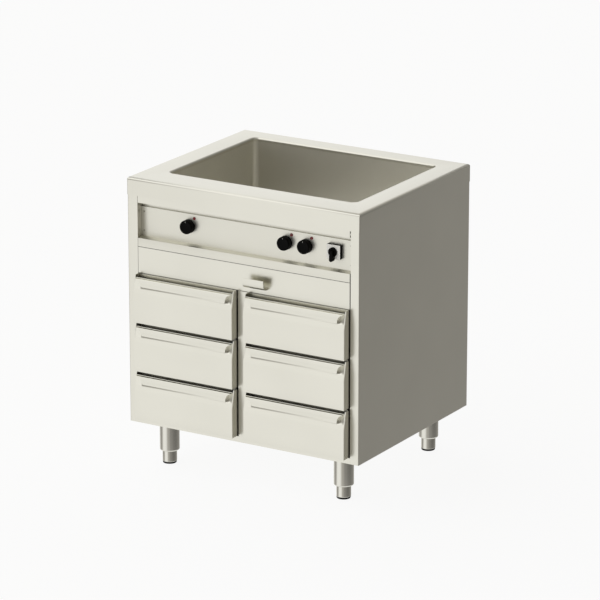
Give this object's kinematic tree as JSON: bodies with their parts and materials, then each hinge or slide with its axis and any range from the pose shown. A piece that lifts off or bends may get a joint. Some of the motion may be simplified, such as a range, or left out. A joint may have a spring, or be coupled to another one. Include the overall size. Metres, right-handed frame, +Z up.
{
  "type": "bain-marie with drawers",
  "caption": "Free-standing stainless steel bain-marie: open heated basin above a recessed control panel, a pull-out tray and two columns of drawers on adjustable legs.",
  "frame": {"origin": "on the floor under the middle of the overall box", "axes": "+Z up, -Y towards the front with the drawers, +X to the right as seen from the front"},
  "size_m": [0.8, 0.686, 0.9],
  "materials": {
    "brushed_stainless": "satin brushed stainless steel",
    "casing_stainless": "satin brushed stainless steel",
    "inner_stainless": "plain rolled stainless steel",
    "leg_stainless": "brushed stainless steel tube",
    "basin_stainless": "satin stainless steel, deep drawn and welded",
    "zinc_slides": "bright zinc plated steel",
    "heater_aluminium": "plain aluminium heating plate",
    "valve_chrome": "nickel plated brass",
    "lever_paint": "red dipped steel lever",
    "thermostat_plastic": "moulded cream thermoset plastic",
    "red_lens": "clear red moulded lens",
    "black_plastic": "moulded black plastic",
    "white_plastic": "moulded white plastic",
    "black_polymer": "moulded black polyamide",
    "screw_steel": "stainless steel screw head"
  },
  "bodies": {
    "cabinet": {"worktop": "brushed_stainless", "basin": "basin_stainless", "basin_heater": "heater_aluminium", "drain_strainer": "basin_stainless", "drain_valve": "valve_chrome", "side_panel_left": "casing_stainless", "side_panel_right": "casing_stainless", "back_panel": "casing_stainless", "base_panel": "casing_stainless", "bay_wall_left": "casing_stainless", "bay_wall_right": "casing_stainless", "bay_ceiling": "casing_stainless", "centre_partition": "casing_stainless", "bay_heaters": "heater_aluminium", "top_rail": "brushed_stainless", "control_panel": "brushed_stainless", "panel_screws": "screw_steel", "thermostats": "thermostat_plastic", "pilot_lamps": "red_lens", "switch_block": "black_plastic", "switch_plate": "white_plastic", "tray_guides": "zinc_slides", "slides_outer": "zinc_slides", "leg_tubes": "leg_stainless", "cable_gland": "black_polymer"},
    "drawer_left_bottom": {"drawer_left_bottom_front": "brushed_stainless", "drawer_left_bottom_box": "inner_stainless", "drawer_left_bottom_slide_inner": "zinc_slides"},
    "slides_left_bottom": {"drawer_left_bottom_slide_middle": "zinc_slides"},
    "drawer_left_middle": {"drawer_left_middle_front": "brushed_stainless", "drawer_left_middle_box": "inner_stainless", "drawer_left_middle_slide_inner": "zinc_slides"},
    "slides_left_middle": {"drawer_left_middle_slide_middle": "zinc_slides"},
    "drawer_left_top": {"drawer_left_top_front": "brushed_stainless", "drawer_left_top_box": "inner_stainless", "drawer_left_top_slide_inner": "zinc_slides"},
    "slides_left_top": {"drawer_left_top_slide_middle": "zinc_slides"},
    "drawer_right_bottom": {"drawer_right_bottom_front": "brushed_stainless", "drawer_right_bottom_box": "inner_stainless", "drawer_right_bottom_slide_inner": "zinc_slides"},
    "slides_right_bottom": {"drawer_right_bottom_slide_middle": "zinc_slides"},
    "drawer_right_middle": {"drawer_right_middle_front": "brushed_stainless", "drawer_right_middle_box": "inner_stainless", "drawer_right_middle_slide_inner": "zinc_slides"},
    "slides_right_middle": {"drawer_right_middle_slide_middle": "zinc_slides"},
    "drawer_right_top": {"drawer_right_top_front": "brushed_stainless", "drawer_right_top_box": "inner_stainless", "drawer_right_top_slide_inner": "zinc_slides"},
    "slides_right_top": {"drawer_right_top_slide_middle": "zinc_slides"},
    "pull_out_tray": {"tray_front": "brushed_stainless", "tray_pan": "inner_stainless"},
    "left_knob": {"knob_left": "black_plastic"},
    "middle_knob": {"knob_middle": "black_plastic"},
    "right_knob": {"knob_right": "black_plastic"},
    "switch_handle": {"switch_knob": "black_plastic"},
    "valve_handle": {"drain_valve_lever": "lever_paint"},
    "front_left_foot": {"foot_front_left": "leg_stainless"},
    "front_right_foot": {"foot_front_right": "leg_stainless"},
    "rear_left_foot": {"foot_rear_left": "leg_stainless"},
    "rear_right_foot": {"foot_rear_right": "leg_stainless"}
  },
  "joints": [
    {"name": "drawer_left_bottom_travel", "type": "slide", "parent": "cabinet", "child": "drawer_left_bottom", "axis": [0, -1, 0], "range_m": [0, 0.43]},
    {"name": "slides_left_bottom_travel", "type": "slide", "parent": "cabinet", "child": "slides_left_bottom", "axis": [0, -1, 0], "range_m": [0, 0.215]},
    {"name": "drawer_left_middle_travel", "type": "slide", "parent": "cabinet", "child": "drawer_left_middle", "axis": [0, -1, 0], "range_m": [0, 0.43]},
    {"name": "slides_left_middle_travel", "type": "slide", "parent": "cabinet", "child": "slides_left_middle", "axis": [0, -1, 0], "range_m": [0, 0.215]},
    {"name": "drawer_left_top_travel", "type": "slide", "parent": "cabinet", "child": "drawer_left_top", "axis": [0, -1, 0], "range_m": [0, 0.43]},
    {"name": "slides_left_top_travel", "type": "slide", "parent": "cabinet", "child": "slides_left_top", "axis": [0, -1, 0], "range_m": [0, 0.215]},
    {"name": "drawer_right_bottom_travel", "type": "slide", "parent": "cabinet", "child": "drawer_right_bottom", "axis": [0, -1, 0], "range_m": [0, 0.43]},
    {"name": "slides_right_bottom_travel", "type": "slide", "parent": "cabinet", "child": "slides_right_bottom", "axis": [0, -1, 0], "range_m": [0, 0.215]},
    {"name": "drawer_right_middle_travel", "type": "slide", "parent": "cabinet", "child": "drawer_right_middle", "axis": [0, -1, 0], "range_m": [0, 0.43]},
    {"name": "slides_right_middle_travel", "type": "slide", "parent": "cabinet", "child": "slides_right_middle", "axis": [0, -1, 0], "range_m": [0, 0.215]},
    {"name": "drawer_right_top_travel", "type": "slide", "parent": "cabinet", "child": "drawer_right_top", "axis": [0, -1, 0], "range_m": [0, 0.43]},
    {"name": "slides_right_top_travel", "type": "slide", "parent": "cabinet", "child": "slides_right_top", "axis": [0, -1, 0], "range_m": [0, 0.215]},
    {"name": "tray_travel", "type": "slide", "parent": "cabinet", "child": "pull_out_tray", "axis": [0, -1, 0], "range_m": [0, 0.35]},
    {"name": "left_knob_turn", "type": "hinge", "parent": "cabinet", "child": "left_knob", "pos_m": [-0.1965, -0.301, 0.7715], "axis": [0, 1, 0], "range_deg": [0, 270]},
    {"name": "middle_knob_turn", "type": "hinge", "parent": "cabinet", "child": "middle_knob", "pos_m": [0.139, -0.301, 0.7715], "axis": [0, 1, 0], "range_deg": [0, 270]},
    {"name": "right_knob_turn", "type": "hinge", "parent": "cabinet", "child": "right_knob", "pos_m": [0.2075, -0.301, 0.7715], "axis": [0, 1, 0], "range_deg": [0, 270]},
    {"name": "switch_turn", "type": "hinge", "parent": "cabinet", "child": "switch_handle", "pos_m": [0.306, -0.31, 0.7715], "axis": [0, 1, 0], "range_deg": [0, 90]},
    {"name": "valve_turn", "type": "hinge", "parent": "cabinet", "child": "valve_handle", "pos_m": [-0.2, 0.257, 0.12], "axis": [0, 0, 1], "range_deg": [0, 90]},
    {"name": "front_left_foot_height", "type": "slide", "parent": "cabinet", "child": "front_left_foot", "axis": [0, 0, 1], "range_m": [-0.035, 0.02]},
    {"name": "front_right_foot_height", "type": "slide", "parent": "cabinet", "child": "front_right_foot", "axis": [0, 0, 1], "range_m": [-0.035, 0.02]},
    {"name": "rear_left_foot_height", "type": "slide", "parent": "cabinet", "child": "rear_left_foot", "axis": [0, 0, 1], "range_m": [-0.035, 0.02]},
    {"name": "rear_right_foot_height", "type": "slide", "parent": "cabinet", "child": "rear_right_foot", "axis": [0, 0, 1], "range_m": [-0.035, 0.02]}
  ],
  "couplings": [
    {"joint": "slides_left_bottom_travel", "follows": "drawer_left_bottom_travel", "ratio": 0.5},
    {"joint": "slides_left_middle_travel", "follows": "drawer_left_middle_travel", "ratio": 0.5},
    {"joint": "slides_left_top_travel", "follows": "drawer_left_top_travel", "ratio": 0.5},
    {"joint": "slides_right_bottom_travel", "follows": "drawer_right_bottom_travel", "ratio": 0.5},
    {"joint": "slides_right_middle_travel", "follows": "drawer_right_middle_travel", "ratio": 0.5},
    {"joint": "slides_right_top_travel", "follows": "drawer_right_top_travel", "ratio": 0.5}
  ]
}
